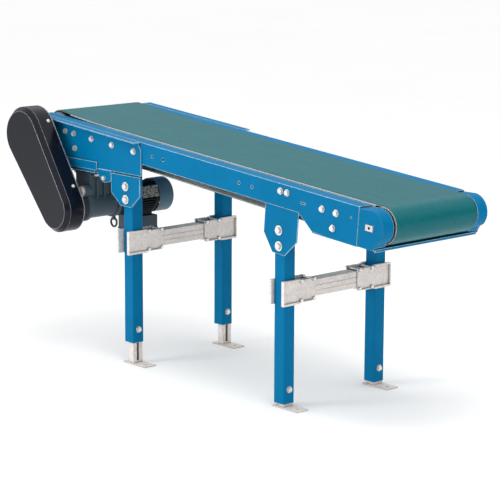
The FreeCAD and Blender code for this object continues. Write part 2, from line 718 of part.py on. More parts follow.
BAR_SIDE = "tube / 2"
BAR_FACE = "(tube / 2 - 0.5)"
all_shells, bars = [], []
for end, leg_x in ENDS:
    middle = f"bar_{end}_z"
    bar = cut(
        block(f"{leg_x} - {BAR_FACE}", "-bar_half", f"{middle} - bar_height / 2",
              f"{BAR_FACE} * 2", "bar_half * 2", "bar_height"),
        block(f"{leg_x} - {BAR_FACE} + bar_wall", "-bar_half - 1", f"{middle} - bar_height / 2 + bar_wall",
              f"{BAR_FACE} * 2 - bar_wall * 2", "bar_half * 2 + 2", "bar_height - bar_wall * 2"),
        *[block(f"{leg_x} + ({face}) * {BAR_FACE} - 1", "-bar_half - 1", f"{middle} + ({row}) - 1.5",
                2, "bar_half * 2 + 2", 3) for face in (-1, 1) for row in (-9, 9)])
    bars.append(bar)
    for side, sign in SIDES:
        reach = f"shell_{end}_{side}"
        shells = []
        for face in (-1, 1):
            web_x = f"{leg_x} + {BAR_SIDE}" if face > 0 else f"{leg_x} - {BAR_SIDE} - shell_sheet"
            lip_x = f"{leg_x} + {BAR_SIDE}" if face > 0 else f"{leg_x} - {BAR_SIDE} - band_lip"
            web_length = f"{reach} - shell_inner"
            web = block(web_x, outward(sign, "shell_inner", web_length), f"{middle} - shell_height / 2",
                        "shell_sheet", web_length, "shell_height")
            lips = [block(lip_x, outward(sign, "shell_inner + 21", "shell_band - shell_inner - 42"), z,
                          "band_lip", "shell_band - shell_inner - 42", "shell_sheet")
                    for z in (f"{middle} - shell_height / 2", f"{middle} + shell_height / 2 - shell_sheet")]
            bands = [block(lip_x, outward(sign, "shell_band", f"{reach} - shell_band"), z, "band_lip",
                           f"{reach} - shell_band", "(band_height - shell_height) / 2 + shell_sheet")
                     for z in (f"{middle} - band_height / 2", f"{middle} + shell_height / 2 - shell_sheet")]
            cheek = block(lip_x, outward(sign, f"{reach} - shell_sheet", "shell_sheet"),
                          f"{middle} - band_height / 2", "band_lip", "shell_sheet", "band_height")
            holes = [rod(f"{leg_x} - 40", f"{sign} * ({y})", f"{middle} + ({z})", 4.5, 80, "X")
                     for y in ("shell_inner + 10", "shell_band - 10") for z in (-34, 34)]
            shells.append(cut(join(web, *lips, *bands, cheek), *holes))
        all_shells += shells
node("cross_bars", *bars)
node("clamp_shells", *all_shells)

node("clamp_bolts", *[
    bolt(f"{leg_x} + {BAR_SIDE} + shell_sheet", f"{sign} * ({y})", f"bar_{end}_z + ({z})", "X", 4, 7,
         "tube + shell_sheet * 2 + 12", "tube + shell_sheet * 2")
    for end, leg_x in ENDS for side, sign in SIDES
    for y in ("shell_inner + 10", "shell_band - 10") for z in (-34, 34)])


# ---- chain drive ---------------------------------------------------------------------------

def pitch_circle(teeth):
    return size("pitch") / 2 / math.sin(math.pi / teeth)


drum_teeth, gear_teeth = int(size("drum_teeth")), int(size("gear_teeth"))
big, small = pitch_circle(drum_teeth), pitch_circle(gear_teeth)
LINKS = 82


def chain_links(distance):
    """The number of pitches round the two sprockets at a centre distance."""
    lean = math.asin((big - small) / distance)
    straight = 2 * distance * math.cos(lean) / size("pitch")
    return straight + drum_teeth * (0.5 + lean / math.pi) + gear_teeth * (0.5 - lean / math.pi)


shortest, longest = 280.0, 380.0
for halving in range(60):
    distance = (shortest + longest) / 2
    if chain_links(distance) < LINKS:
        shortest = distance
    else:
        longest = distance

head_u, head_w = size("head_u"), size("head_w")
aim = math.atan2(size("guard_low_w") - head_w, size("guard_low_u") - head_u)
gear_u = head_u + distance * math.cos(aim)
gear_w = head_w + distance * math.sin(aim)

sprockets = [(head_u, head_w, big, 1), (gear_u, gear_w, small, 1)]
runs = [tangent(sprockets[0], sprockets[1]), tangent(sprockets[1], sprockets[0])]
lean = math.asin((big - small) / distance)
stretches = []
for index, (u, w, radius, hand) in enumerate(sprockets):
    arrive, leave = runs[index - 1][1], runs[index][0]
    first = math.atan2(arrive.z - w, arrive.x - u)
    turn = (first - math.atan2(leave.z - w, leave.x - u)) % (2 * math.pi)
    teeth = (drum_teeth, gear_teeth)[index]
    stretches.append(("arc", u, w, radius, first, teeth, turn / (2 * math.pi) * teeth))
    stretches.append(("run", runs[index][0], runs[index][1], 0, 0, 0,
                      (runs[index][1] - runs[index][0]).Length / size("pitch")))


def along(count):
    """The point a number of pitches along the chain."""
    for kind, one, two, radius, first, teeth, length in stretches:
        if count <= length:
            if kind == "arc":
                angle = first - count / teeth * 2 * math.pi
                return Vector(one + radius * math.cos(angle), 0, two + radius * math.sin(angle))
            return one + (two - one) * (count / length)
        count -= length
    return along(0)


def across(point, start, length, radius):
    """A cylinder that runs along Y through a point of the bed's own u-w plane."""
    return Part.makeCylinder(radius, length, Vector(point.x, start, point.z), Vector(0, 1, 0))


LINK_PLATE = 1.4
PLATE_HALF = 5.5
PIN_RADIUS = 2.2
links = []
sprocket_y, sprocket_width = size("sprocket_y"), size("sprocket_width")
for index in range(LINKS):
    here, there = along(index), along((index + 1) % LINKS)
    step = there - here
    outer = index % 2
    offset = sprocket_width / 2 + 0.6 + (LINK_PLATE + 0.2) * outer
    pieces = []
    for face in (-1, 1):
        start = sprocket_y + face * offset - (LINK_PLATE if face < 0 else 0)
        bar = Part.makeBox(step.Length, LINK_PLATE, PLATE_HALF * 2, Vector(0, 0, -PLATE_HALF))
        ends = [across(Vector(x, 0, 0), 0, LINK_PLATE, PLATE_HALF) for x in (0, step.Length)]
        side_plate = bar.fuse(ends).removeSplitter()
        side_plate.rotate(Vector(), Vector(0, 1, 0), -math.degrees(math.atan2(step.z, step.x)))
        side_plate.translate(here + Vector(0, start, 0))
        pieces.append(side_plate)
    if outer:
        pin_start, pin_length = sprocket_y - offset - LINK_PLATE, (offset + LINK_PLATE) * 2
        pieces += [across(point, pin_start, pin_length, PIN_RADIUS) for point in (here, there)]
        links.append(pieces[0].fuse(pieces[1:]))
    else:
        bush_start, bush_length = sprocket_y - sprocket_width / 2 - 0.6, sprocket_width + 1.2
        pieces += [across(point, bush_start, bush_length, size("roller_pin")) for point in (here, there)]
        bores = [across(point, sprocket_y - 30, 60, PIN_RADIUS + 0.05) for point in (here, there)]
        links.append(pieces[0].fuse(pieces[1:]).cut(bores))
bed("chain", fixed(Part.Compound(links)))


TOOTH_TOP, TOOTH_ROOT = -4.4, 7.5
HUB_DEPTH = 18


def sprocket(teeth, radius, u, w, phase, bore):
    """A sprocket whose short teeth pass just under the chain's rollers, with a hub on one side."""
    start = sprocket_y - sprocket_width / 2
    wheel = toothed(teeth, radius, TOOTH_TOP, TOOTH_ROOT, start, sprocket_width, phase)
    hub = across(Vector(), sprocket_y, HUB_DEPTH, bore + 12)
    hole = across(Vector(), sprocket_y - 40, 100, bore)
    solid = wheel.fuse(hub).removeSplitter().cut(hole)
    solid.translate(Vector(u, 0, w))
    return solid


big_phase = stretches[0][4]
small_count = math.ceil(stretches[0][6] + stretches[1][6])
roller_point = along(small_count)
small_phase = math.atan2(roller_point.z - gear_w, roller_point.x - gear_u)
OUTPUT_RADIUS = 12
driven = sprocket(drum_teeth, big, head_u, head_w, big_phase, size("shaft_radius"))
driving = sprocket(gear_teeth, small, gear_u, gear_w, small_phase, OUTPUT_RADIUS)
bed("driven_sprocket", fixed(driven))
bed("drive_sprocket", fixed(driving))


# ---- chain guard ---------------------------------------------------------------------------

def guard_outline(inset):
    return loop([(size("guard_top_u"), size("guard_top_w"), size("guard_top_radius") - inset, 1),
                 (size("guard_low_u"), size("guard_low_w"), size("guard_low_radius") - inset, 1)])


def guard_solid(inset, back, edge, front):
    body = slab(guard_outline(inset), back, edge - back)
    rim, crown = guard_outline(inset), guard_outline(inset + size("guard_bevel"))
    rim.translate(Vector(0, edge, 0))
    crown.translate(Vector(0, front, 0))
    return body.fuse(Part.makeLoft([rim, crown], True, True)).removeSplitter()


guard_sheet = size("guard_sheet")
guard_face = size("guard_back") - guard_sheet
hollow = guard_solid(guard_sheet, guard_face + 1, size("guard_edge"), size("guard_front") + guard_sheet)
bed("guard_cover", fixed(guard_solid(0, guard_face, size("guard_edge"), size("guard_front")).cut(hollow)))
back = slab(guard_outline(0), guard_face, guard_sheet)
for u, w, radius in ((head_u, head_w, 30), (gear_u, gear_w, 26)):
    back = back.cut(across(Vector(u, 0, w), guard_face - 5, 20, radius))
bed("guard_back", fixed(back))

screws = []
wall_start, wall_end = tangent((size("guard_top_u"), size("guard_top_w"), size("guard_top_radius"), 1),
                               (size("guard_low_u"), size("guard_low_w"), size("guard_low_radius"), 1))
wall = wall_end - wall_start
wall_normal = Vector(-wall.z, 0, wall.x).normalize()
for share in (0.0, 0.85):
    seat = wall_start + wall * share + Vector(0, size("guard_edge") + 42, 0)
    head = Part.makeCylinder(7, 3, seat, wall_normal).fuse(
        Part.makeSphere(5.5, seat + wall_normal * 1.5)).removeSplitter()
    cover_side = Part.makeBox(400, 400, 400, Vector(-200, -200, -400))
    cover_side.Placement = Placement(seat, Rotation(Vector(0, 0, 1), wall_normal))
    screws.append(head.cut(cover_side))
bed("guard_screws", fixed(Part.Compound(screws)))


# ---- gearmotor -----------------------------------------------------------------------------

motor_x = evaluate(to_floor_x(gear_u, gear_w))
motor_z = evaluate(to_floor_z(gear_u, gear_w))
DECK_Z = 694
DECK_SHEET = 6
GEAR_FOOT = 12


def on_axis(radius, start, length, x=0.0, z=0.0):
    return rod(motor_x + x, start, motor_z + z, radius, length)


lay_z = 40
PLUG_X, PLUG_Z = 34, 56
node("output_shaft", on_axis(OUTPUT_RADIUS, f"sprocket_y - 12", f"(gear_start + 62) - (sprocket_y - 12)"))
cavity = [on_axis(46, "gear_start + 12", "gear_end - gear_start - 24"),
          block(motor_x - 36, "gear_start + 24", motor_z, 72, "gear_end - gear_start - 40", 78)]
shaft_bores = [on_axis(f"{OUTPUT_RADIUS} + run_gap", "gear_start - 10", 30),
               on_axis(9.05, "gear_end - 20", 30)]
lay_bores = [on_axis(7.05, "gear_start + 18", "gear_end - gear_start - 30", 0, lay_z)]
gear_body = join(
    on_axis("gear_radius", "gear_start", "gear_end - gear_start"),
    on_axis("gear_radius + 8", "gear_start", 16),
    on_axis("gear_radius + 6", "gear_end - 12", 12),
    block(motor_x - 44, "gear_start + 16", motor_z, 88, "gear_end - gear_start - 28",
          DECK_Z - motor_z - GEAR_FOOT / 2),
    block(motor_x - 72, "gear_start + 20", DECK_Z - GEAR_FOOT, 144, "gear_end - gear_start - 40", GEAR_FOOT),
    *[block(motor_x - 50, f"gear_start + {y}", motor_z + 8, 100, 6, 92) for y in (42, 76, 110)],
    on_axis(22, "gear_start - 16", 34, PLUG_X, PLUG_Z))
foot_holes = [rod(motor_x + x, f"gear_start + {y}", DECK_Z - GEAR_FOOT - 20, 5.5, GEAR_FOOT + 30, "Z")
              for x in (-60, 60) for y in (32, 122)]
node("gearbox_housing", cut(gear_body, *cavity, *shaft_bores, *lay_bores, *foot_holes))
node("gearbox_plug", join(hexagon(motor_x + PLUG_X, "gear_start - 16 - 10", motor_z + PLUG_Z, 18, 10),
                          on_axis(20, "gear_start - 18", 2, PLUG_X, PLUG_Z)))
TAB_BOLT = (-596, 683)
node("gearbox_feet_bolts", bolt(TAB_BOLT[0], "-half_width - head_plate", TAB_BOLT[1], "-Y", 5, 9, 20), *[
    bolt(motor_x + x, f"gear_start + {y}", DECK_Z - GEAR_FOOT, "-Z", 5, 9, GEAR_FOOT + DECK_SHEET + 8,
         GEAR_FOOT + DECK_SHEET) for x in (-60, 60) for y in (32, 122)])
node("output_gear", ring(motor_x, "gear_start + 28", motor_z, 27.8, OUTPUT_RADIUS, 22))
node("layshaft", join(
    on_axis(7, "gear_start + 19", "gear_end - gear_start - 32", 0, lay_z),
    on_axis(11.8, "gear_start + 27", 24, 0, lay_z),
    on_axis(29.8, "gear_start + 80", 16, 0, lay_z)))

ROTOR_END = 128
node("rotor", join(
    on_axis(9.8, "gear_start + 78", 20),
    on_axis(6, "gear_start + 74", "gear_end - (gear_start + 74)"),
    on_axis(9, "gear_end - 18", f"{ROTOR_END} - (gear_end - 18)"),
    on_axis(30, -56, 110)))
node("stator", ring(motor_x, -58, motor_z, 44, 30.6, 114))
FINS = 36
FIN_PROFILE = ((0.0, "frame_radius"), (0.34, "frame_radius"), (0.36, "fin_radius"), (0.58, "fin_radius"))
ring_points = []
for fin in range(FINS):
    for share, reach in FIN_PROFILE:
        angle = (fin + share) / FINS * 2 * math.pi
        ring_points.append(Vector(size(reach) * math.cos(angle), 0, size(reach) * math.sin(angle)))
ring_points.append(ring_points[0])
fins = slab(Part.makePolygon(ring_points), size("gear_end") + 12, size("frame_end") - size("gear_end") - 24)
fins.translate(Vector(motor_x, 0, motor_z))
BOX_Y, BOX_LENGTH = -22, 112
node("motor_frame", cut(
    join(fixed(fins), on_axis("fin_radius", "gear_end", 12), on_axis("fin_radius", "frame_end - 12", 12),
         block(motor_x - 34, BOX_Y + 6, motor_z - 70, 68, BOX_LENGTH - 20, 30)),
    on_axis(44, "gear_end + 10", "frame_end - gear_end - 20"),
    on_axis(9.05, "gear_end - 1", "frame_end - gear_end + 2")))
node("fan_cowl", cut(
    on_axis("cowl_radius", "frame_end", "cowl_end - frame_end"),
    on_axis("cowl_radius - cowl_sheet", "frame_end - 1", "cowl_end - frame_end - cowl_sheet + 1"),
    *[block(motor_x - 3 + column * 11, "cowl_end - 5", motor_z - 8 + row * 22, 6, 10, 16)
      for column in range(-4, 5) for row in (-2, -1, 0, 1, 2)
      if math.hypot(column * 11, row * 22) < 50]))
blades = []
for blade in range(7):
    vane = block(-1.5, 100, 18, 3, 26, 38)
    turned = doc.addObject("Part::Compound", "vane")
    turned.Links = [vane]
    turned.Placement = Placement(Vector(motor_x, 0, motor_z), Rotation(Vector(0, 1, 0), blade * 360 / 7))
    blades.append(turned)
node("cooling_fan", cut(join(on_axis(20, 98, 28), on_axis(54, 98, 2.5), *blades), on_axis(9, 90, 50)))

node("terminal_box", cut(
    block(motor_x - 50, BOX_Y, motor_z - 118, 100, BOX_LENGTH, 48),
    block(motor_x - 46, BOX_Y + 4, motor_z - 119, 92, BOX_LENGTH - 8, 45),
    rod(motor_x + 10, BOX_Y + BOX_LENGTH - 10, motor_z - 96, 9, 20)))
node("terminal_lid", block(motor_x - 52, BOX_Y - 2, motor_z - 126, 104, BOX_LENGTH + 4, 8))
node("cable_gland", cut(
    join(rod(motor_x + 10, BOX_Y + BOX_LENGTH - 8, motor_z - 96, 9, 14),
         hexagon(motor_x + 10, BOX_Y + BOX_LENGTH, motor_z - 96, 13, 7),
         rod(motor_x + 10, BOX_Y + BOX_LENGTH + 7, motor_z - 96, 10.5, 11)),
    rod(motor_x + 10, BOX_Y + BOX_LENGTH - 20, motor_z - 96, 5.5, 50)))

EYE_Y = -78
EYE_X = motor_x - 8
eye = Part.makeTorus(17, 4.2, Vector(EYE_X, EYE_Y, motor_z - 88), Vector(0, 1, 0))
stem = Part.makeCylinder(7, 16, Vector(EYE_X, EYE_Y, motor_z - 78.5), Vector(0, 0, 1))
node("lifting_eye", fixed(eye.fuse(stem).removeSplitter()))

plate_blank = block(-1, -7, -23, 2, 95, 46)
tag = doc.addObject("Part::Compound", "tag")
tag.Links = [plate_blank]
tilt = math.radians(24)
reach = size("fin_radius") + 1.2
tag.Placement = Placement(Vector(motor_x + reach * math.cos(tilt), 0, motor_z + reach * math.sin(tilt)),
                          Rotation(Vector(0, 1, 0), -24))
node("nameplate", tag)


# ---- motor bracket and guard bracket -------------------------------------------------------

DECK_X, DECK_LENGTH = motor_x - 90, 190
deck = [block(DECK_X, "-half_width", DECK_Z, DECK_LENGTH, "half_width * 2", DECK_SHEET)]
deck += [block(DECK_X, outward(sign, "half_width - 4", 4), DECK_Z, DECK_LENGTH, 4, 44)
         for side, sign in SIDES]
tab = plate("XZ", "-half_width - head_plate", "head_plate + 4", [
    (-640, 713.5), (-557, 713.5), (-557, 679), (-563, 672), (-596, 666), (-612, 670), (-640, 700)])
deck_holes = [rod(motor_x + x, f"gear_start + {y}", DECK_Z - 1, 5.5, DECK_SHEET + 2, "Z")
              for x in (-60, 60) for y in (32, 122)]
deck_holes.append(rod(TAB_BOLT[0], -260, TAB_BOLT[1], 5.5, 20))
node("motor_bracket", cut(join(*deck, tab), *deck_holes))

BRACKET_LOW, BRACKET_HIGH = 707, 738
BRACKET_START, BRACKET_LENGTH = -880, 243
BRACKET_TALL = BRACKET_HIGH - BRACKET_LOW
node("guard_bracket", join(
    block(BRACKET_START, "-half_width - head_plate - 4", BRACKET_LOW, BRACKET_LENGTH, 4, BRACKET_TALL),
    block(BRACKET_START, "guard_back", BRACKET_LOW, 30, "-guard_back - half_width - head_plate - 2",
          BRACKET_TALL)))


# ---- checks and export ---------------------------------------------------------------------

doc.recompute()
for item in doc.Objects:
    if "Invalid" in item.State or "Error" in item.State:
        raise SystemExit(f"{item.Name} ({item.TypeId}) failed: {item.State}")
for item in NODES:
    if item.Shape.isNull() or not item.Shape.isValid() or not item.Shape.Solids:
        raise SystemExit(f"{item.Label} has no valid shape")
    item.Shape.exportStep(f"parts/{item.Label}.step")
print(len(NODES), "sub-parts")
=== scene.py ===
import json
import math

import bpy
from mathutils import Matrix, Vector

# A belt conveyor section.  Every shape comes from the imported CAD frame.  This script gives each
# node its material, and adds the floor, the light and the camera.  Lengths are in metres, and the
# camera looks as the photograph's does.

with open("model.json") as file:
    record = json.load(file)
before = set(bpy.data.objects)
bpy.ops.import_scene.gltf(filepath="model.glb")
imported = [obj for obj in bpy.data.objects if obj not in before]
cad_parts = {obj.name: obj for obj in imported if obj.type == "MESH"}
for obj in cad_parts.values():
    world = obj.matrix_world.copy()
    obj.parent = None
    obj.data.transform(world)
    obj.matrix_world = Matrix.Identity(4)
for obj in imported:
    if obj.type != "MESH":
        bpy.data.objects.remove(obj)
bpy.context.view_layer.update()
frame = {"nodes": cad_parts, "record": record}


# ---- material nodes ------------------------------------------------------------------------

# Blender's noise lies mostly between these two values.
NOISE_LOW, NOISE_HIGH = 0.3, 0.7

# How much of its colour a surface keeps where shade is painted into a corner, and how strong that
# painted shade is.
PAINTED_SHADE_TONE, PAINTED_SHADE_STRENGTH = 0.25, 0.8


def shade(colour, amount, lift=0.0):
    """The colour with each channel times an amount, plus a lift, and at most one."""
    return tuple(min(1.0, channel * amount + lift) for channel in colour)


class Shader:
    """A material's node tree, with short calls for the nodes that this scene uses."""

    def __init__(self, name):
        self.material = bpy.data.materials.new(name)
        self.material.use_nodes = True
        self.tree = self.material.node_tree
        self.tree.nodes.clear()
        self.surface = self.node("ShaderNodeBsdfPrincipled")
        output = self.node("ShaderNodeOutputMaterial")
        self.link(self.surface.outputs["BSDF"], output.inputs["Surface"])
        self.place = self.node("ShaderNodeTexCoord").outputs["Object"]

    def node(self, kind):
        return self.tree.nodes.new(kind)

    def link(self, source, target):
        self.tree.links.new(source, target)

    def stretched(self, x, y, z):
        """The place on the object, multiplied along each axis, for a pattern with a direction."""
        mapping = self.node("ShaderNodeMapping")
        mapping.inputs["Scale"].default_value = (x, y, z)
        self.link(self.place, mapping.inputs["Vector"])
        return mapping.outputs["Vector"]

    def noise(self, scale, detail, place=None, roughness=0.55):
        """Smooth random patches, about as many to a metre as the scale says."""
        noise = self.node("ShaderNodeTexNoise")
        noise.inputs["Scale"].default_value = scale
        noise.inputs["Detail"].default_value = detail
        noise.inputs["Roughness"].default_value = roughness
        self.link(place or self.place, noise.inputs["Vector"])
        return noise.outputs["Fac"]

    def crystals(self, scale):
        """Flat cells, each with a colour of its own: the red and the green of that colour."""
        cells = self.node("ShaderNodeTexVoronoi")
        cells.inputs["Scale"].default_value = scale
        self.link(self.place, cells.inputs["Vector"])
        channels = self.node("ShaderNodeSeparateColor")
        self.link(cells.outputs["Color"], channels.inputs["Color"])
        return channels.outputs["Red"], channels.outputs["Green"]

    def ramp(self, value, low, high, out_low=0.0, out_high=1.0):
        """Goes evenly from out_low to out_high as the value goes from low to high, and no further."""
        node = self.node("ShaderNodeMapRange")
        node.inputs["From Min"].default_value = low
        node.inputs["From Max"].default_value = high
        node.inputs["To Min"].default_value = out_low
        node.inputs["To Max"].default_value = out_high
        self.link(value, node.inputs["Value"])
        return node.outputs["Result"]

    def spread(self, noise, out_low=0.0, out_high=1.0):
        """A noise drawn out over the range from out_low to out_high."""
        return self.ramp(noise, NOISE_LOW, NOISE_HIGH, out_low, out_high)

    def arithmetic(self, operation, first, second):
        """One operation on two values, each a number or a node's output."""
        node = self.node("ShaderNodeMath")
        node.operation = operation
        for socket, value in zip(node.inputs, (first, second)):
            if isinstance(value, (int, float)):
                socket.default_value = value
            else:
                self.link(value, socket)
        return node.outputs["Value"]

    def plus(self, first, second):
        return self.arithmetic("ADD", first, second)

    def times(self, first, second):
        return self.arithmetic("MULTIPLY", first, second)

    def mix(self, amount, first, second):
        """The first colour where the amount is zero, and the second where it is one."""
        mix = self.node("ShaderNodeMix")
        mix.data_type = "RGBA"
        self.link(amount, mix.inputs["Factor"])
        for socket, colour in ((mix.inputs["A"], first), (mix.inputs["B"], second)):
            if isinstance(colour, tuple):
                socket.default_value = (*colour, 1.0)
            else:
                self.link(colour, socket)
        return mix.outputs["Result"]

    def rounded_normal(self, radius, samples):
        """The surface's direction, turning smoothly over sharp edges within a radius."""
        bevel = self.node("ShaderNodeBevel")
        bevel.samples = samples
        bevel.inputs["Radius"].default_value = radius
        return bevel.outputs["Normal"]

    def relief(self, height, strength, distance, rounding=0.0):
        """Bump from a height, over edges that are rounded by a radius."""
        bump = self.node("ShaderNodeBump")
        bump.inputs["Strength"].default_value = strength
        bump.inputs["Distance"].default_value = distance
        self.link(height, bump.inputs["Height"])
        if rounding:
            self.link(self.rounded_normal(rounding, samples=4), bump.inputs["Normal"])
        self.link(bump.outputs["Normal"], self.surface.inputs["Normal"])

    def edge(self, radius):
        """One along sharp edges, to a radius, and zero on flat faces."""
        across = self.node("ShaderNodeVectorMath")
        across.operation = "DOT_PRODUCT"
        self.link(self.rounded_normal(radius, samples=8), across.inputs[0])
        self.link(self.node("ShaderNodeNewGeometry").outputs["Normal"], across.inputs[1])
        return self.ramp(across.outputs["Value"], low=0.90, high=0.99, out_low=1.0, out_high=0.0)

    def crevice(self, reach):
        """One in corners and under washers, to a reach, and zero in the open."""
        hollow = self.node("ShaderNodeAmbientOcclusion")
        hollow.samples = 6
        hollow.inputs["Distance"].default_value = reach
        return self.ramp(hollow.outputs["AO"], low=0.35, high=0.85, out_low=1.0, out_high=0.0)

    def painted_shade(self, body, colour, reach):
        """The body colour, with painted shade of another colour in its corners."""
        return self.mix(self.times(self.crevice(reach), PAINTED_SHADE_STRENGTH), body, colour)

    def finish(self, **values):
        """Sets the surface's inputs, each to a number or a node's output, and ends the material."""
        sockets = {
            "base": "Base Color",
            "metal": "Metallic",
            "rough": "Roughness",
            "specular": "Specular IOR Level",
        }
        for key, value in values.items():
            socket = self.surface.inputs[sockets[key]]
            if isinstance(value, (int, float)):
                socket.default_value = value
            else:
                self.link(value, socket)
        return self.material


# ---- materials -----------------------------------------------------------------------------

def powder_coat(name, colour, rough, worn_and_highlit, peel=0.08, specular=0.2, edge_radius=0.0020, wear_and_highlight=0.8):
    """Sprayed paint: a fine orange peel, faint cloudiness, and edges painted lighter, partly as
    rubbed paint and partly as a painted highlight.
    """
    paint = Shader(name)
    clouds = paint.spread(paint.noise(scale=7.0, detail=4.0))
    body = paint.mix(clouds, shade(colour, 0.88), colour)
    # The edges are lightened in patches, partly as rubbed paint and partly as a painted highlight.
    scuffs = paint.noise(scale=60.0, detail=4.0)
    patchiness = paint.ramp(scuffs, low=0.3, high=0.6, out_low=0.5 * wear_and_highlight, out_high=wear_and_highlight)
    body = paint.mix(paint.times(paint.edge(edge_radius), patchiness), body, worn_and_highlit)
    # Painted shade: the paint is darkened in corners and under washers, within 12 mm.
    body = paint.painted_shade(body, shade(colour, PAINTED_SHADE_TONE, lift=0.002), reach=0.012)
    orange_peel = paint.noise(scale=700.0, detail=2.0)
    paint.relief(orange_peel, strength=peel, distance=0.0002, rounding=edge_radius)
    shine = paint.spread(paint.noise(scale=30.0, detail=3.0), rough - 0.03, rough + 0.03)
    return paint.finish(base=body, rough=shine, specular=specular)


# How much of the tone of zinc comes from its crystals; the rest is a soft mottle.
CRYSTAL_SHARE = 0.35


def zinc_sheet(name, light, dark, rough, metal):
    """Hot-dip zinc: crystals of slightly different grey over a soft mottle."""
    zinc = Shader(name)
    grey, gloss = zinc.crystals(scale=160.0)
    cast = zinc.noise(scale=26.0, detail=5.0)
    mottle = zinc.plus(zinc.times(grey, CRYSTAL_SHARE), zinc.times(cast, 1.0 - CRYSTAL_SHARE))
    body = zinc.mix(zinc.ramp(mottle, low=0.25, high=0.75), dark, light)
    # Painted shade: the zinc is darkened in corners and under washers, within 8 mm.
    body = zinc.painted_shade(body, shade(dark, PAINTED_SHADE_TONE), reach=0.008)
    lumps = zinc.noise(scale=240.0, detail=4.0)
    zinc.relief(lumps, strength=0.18, distance=0.0003, rounding=0.0007)
    shine = zinc.ramp(gloss, low=0.0, high=1.0, out_low=rough - 0.07, out_high=rough + 0.09)
    return zinc.finish(base=body, metal=metal, rough=shine)


def turned_steel(name, colour, rough):
    """Machined steel with fine turning marks across its axis."""
    steel = Shader(name)
    marks = steel.noise(scale=1.0, detail=2.0, place=steel.stretched(40.0, 700.0, 40.0))
    clouds = steel.spread(steel.noise(scale=20.0, detail=4.0))
    tint = steel.mix(clouds, shade(colour, 0.8), colour)
    steel.relief(marks, strength=0.12, distance=0.0002, rounding=0.0006)
    shine = steel.spread(marks, rough - 0.05, rough + 0.08)
    return steel.finish(base=tint, metal=1.0, rough=shine)


def rubber(name, colour, rough, grain, specular=0.1):
    """Calendered rubber or PVC: a satin surface with a fine grain and faint scuffs along X."""
    cover = Shader(name)
    streaks = cover.noise(scale=1.0, detail=4.0, place=cover.stretched(3.0, 60.0, 60.0))
    patchiness = cover.ramp(streaks, low=0.4, high=0.75, out_high=0.7)
    body = cover.mix(patchiness, colour, shade(colour, 1.18, lift=0.004))
    pores = cover.noise(scale=grain, detail=3.0)
    cover.relief(pores, strength=0.10, distance=0.0002, rounding=0.0008)
    shine = cover.spread(cover.noise(scale=30.0, detail=4.0), rough - 0.04, rough + 0.05)
    return cover.finish(base=body, rough=shine, specular=specular)


def cloth(name, colour):
    """Woven polyester: crossing threads, each with a painted highlight along its top and painted
    shade where it dips.
    """
    weave = Shader(name)
    across, along = 1400.0, 90.0
    warp = weave.noise(scale=1.0, detail=1.0, place=weave.stretched(across, along, across))
    weft = weave.noise(scale=1.0, detail=1.0, place=weave.stretched(along, across, along))
    threads = weave.times(warp, weft)
    weave.relief(threads, strength=0.4, distance=0.0003)
    # Painted highlight and painted shade: each thread is lighter along its top and darker where it
    # dips.
    body = weave.mix(weave.ramp(threads, low=0.15, high=0.4), shade(colour, 0.75), colour)
    return weave.finish(base=body, rough=0.85)


def stained_plate(name, clean, stain):
    """A thin metal plate whose face is blotched by oil and dirt, with nothing written on it."""
    plate = Shader(name)
    blots = plate.noise(scale=190.0, detail=5.0, roughness=0.7)
    body = plate.mix(plate.ramp(blots, low=0.44, high=0.56), stain, clean)
    dents = plate.noise(scale=400.0, detail=3.0)
    plate.relief(dents, strength=0.2, distance=0.0002, rounding=0.0006)
    return plate.finish(base=body, metal=0.1, rough=0.5)


def floor_finish(name, colour):
    """A matt pale floor, very slightly uneven in tone."""
    stage = Shader(name)
    clouds = stage.spread(stage.noise(scale=0.6, detail=2.0))
    return stage.finish(base=stage.mix(clouds, shade(colour, 0.985), colour), rough=0.9)


